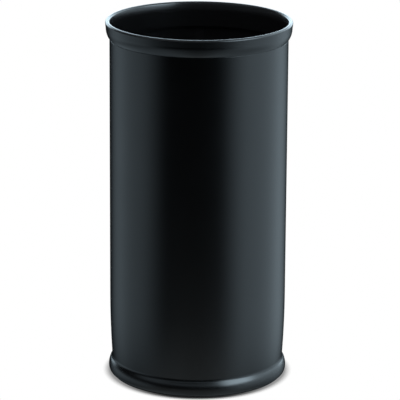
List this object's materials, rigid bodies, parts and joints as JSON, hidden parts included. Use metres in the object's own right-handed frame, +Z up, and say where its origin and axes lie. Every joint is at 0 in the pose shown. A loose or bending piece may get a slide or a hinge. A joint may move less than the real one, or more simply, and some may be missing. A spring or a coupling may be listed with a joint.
{
  "type": "umbrella stand",
  "caption": "Tall round sheet-steel umbrella stand, open at the top, with a rolled flared rim, a beaded base ring on a rubber foot ring and a lift-out drip tray.",
  "frame": {"origin": "middle of the round footprint, on the floor", "axes": "+Z up along the tube's axis; the tube's welded seam is at the back, on +Y, so the front faces -Y"},
  "size_m": [0.25, 0.25, 0.49],
  "materials": {
    "powder_coat": "satin black powder coat with a fine texture",
    "wire_steel": "drawn steel wire",
    "rivet_steel": "zinc-plated, dull",
    "foot_rubber": "matt black",
    "tray_plastic": "moulded, fine spark-eroded texture"
  },
  "bodies": {
    "stand": {"body_tube": "powder_coat", "top_rim": "powder_coat", "rim_wire": "wire_steel", "base_ring": "powder_coat", "base_plate": "powder_coat", "base_rivets": "rivet_steel", "floor_ring": "foot_rubber"},
    "tray": {"drip_tray": "tray_plastic"}
  },
  "joints": [
    {"name": "tray_lift", "type": "slide", "parent": "stand", "child": "tray", "axis": [0, 0, 1], "range_m": [0, 0.5]}
  ]
}
